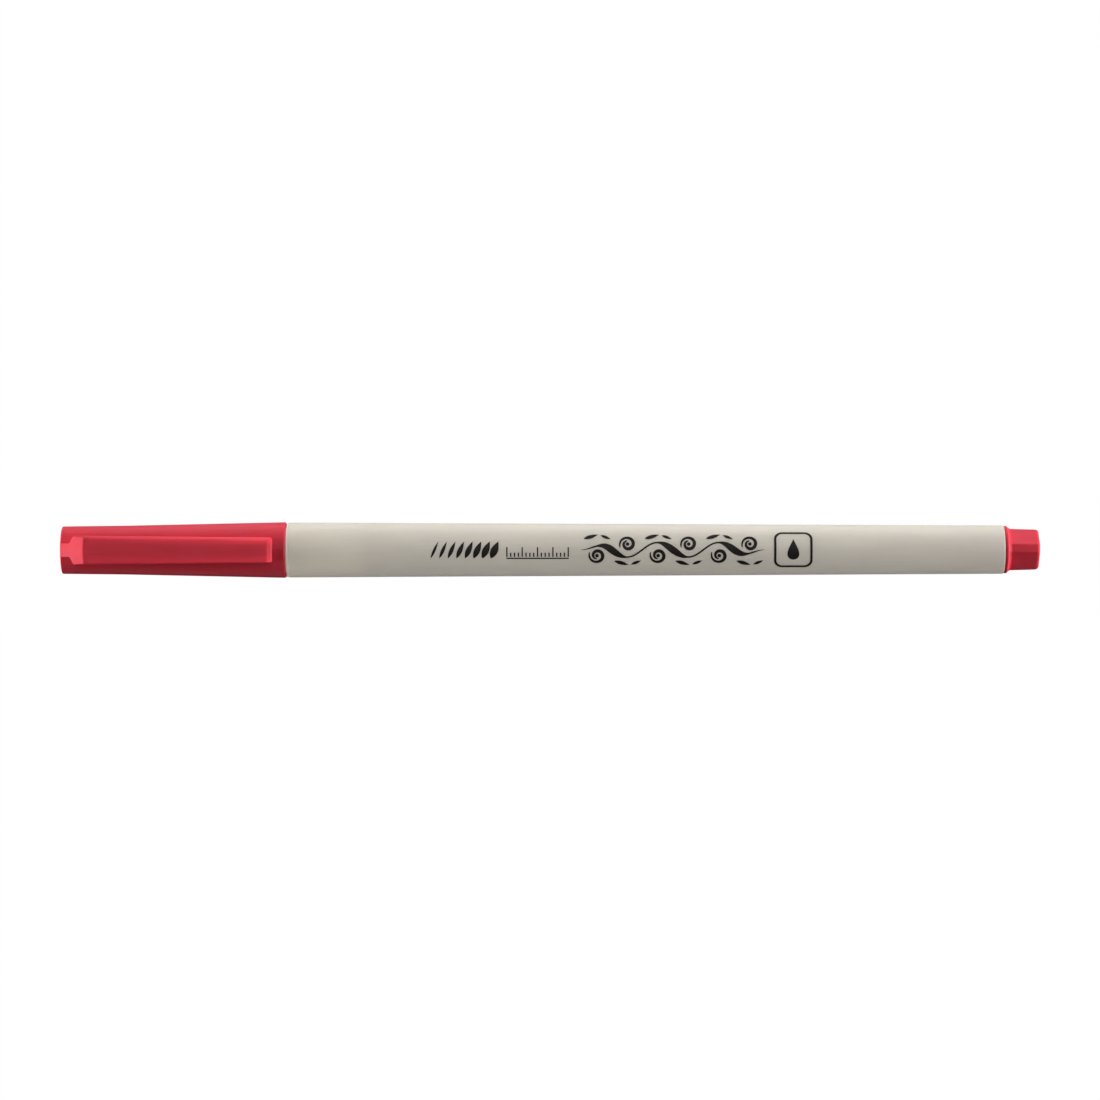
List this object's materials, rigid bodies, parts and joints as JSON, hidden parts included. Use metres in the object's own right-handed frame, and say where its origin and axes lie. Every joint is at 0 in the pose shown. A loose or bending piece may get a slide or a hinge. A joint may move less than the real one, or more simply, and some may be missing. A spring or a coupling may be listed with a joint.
{
  "type": "brush pen",
  "caption": "Slim brush pen: tapered barrel holding an ink reservoir and flexible pointed tip, faceted tail plug, and a pull-off cap with a springy pocket clip.",
  "frame": {"origin": "centre of the flat end face of the tail plug", "axes": "+X along the pen's axis and out of the tail face, so the cap is towards -X; +Z from the axis towards the clip, so the pen lies along X with its clip on top"},
  "size_m": [0.16, 0.0092, 0.0107],
  "materials": {
    "red_plastic": "satin moulded polypropylene",
    "barrel_plastic": "satin warm grey with black printing",
    "white_plastic": "natural moulded",
    "nib_fibre": "dense felt soaked with red ink",
    "reservoir_fibre": "fibre bundle soaked with red ink",
    "clear_film": "thin clear film"
  },
  "bodies": {
    "barrel": {"barrel": "barrel_plastic", "tail_plug": "red_plastic", "front_section": "white_plastic", "nib_holder": "white_plastic", "nib_shank": "nib_fibre", "relay_core": "nib_fibre", "ink_reservoir": "reservoir_fibre", "reservoir_film": "clear_film"},
    "cap": {"cap_shell": "red_plastic", "inner_cap": "white_plastic"},
    "clip": {"clip": "red_plastic"},
    "brush_tip": {"brush_tip": "nib_fibre"}
  },
  "joints": [
    {"name": "cap_pull", "type": "slide", "parent": "barrel", "child": "cap", "axis": [-1, 0, 0], "range_m": [0, 0.045]},
    {"name": "clip_flex", "type": "hinge", "parent": "cap", "child": "clip", "pos_m": [-0.15835, 0, 0.00405], "axis": [0, -1, 0], "range_deg": [0, 3.5], "stiffness_Nm_per_rad": 2},
    {"name": "tip_bend", "type": "hinge", "parent": "barrel", "child": "brush_tip", "pos_m": [-0.1485, 0, 0], "axis": [0, 1, 0], "range_deg": [-15, 15], "stiffness_Nm_per_rad": 0.01}
  ]
}
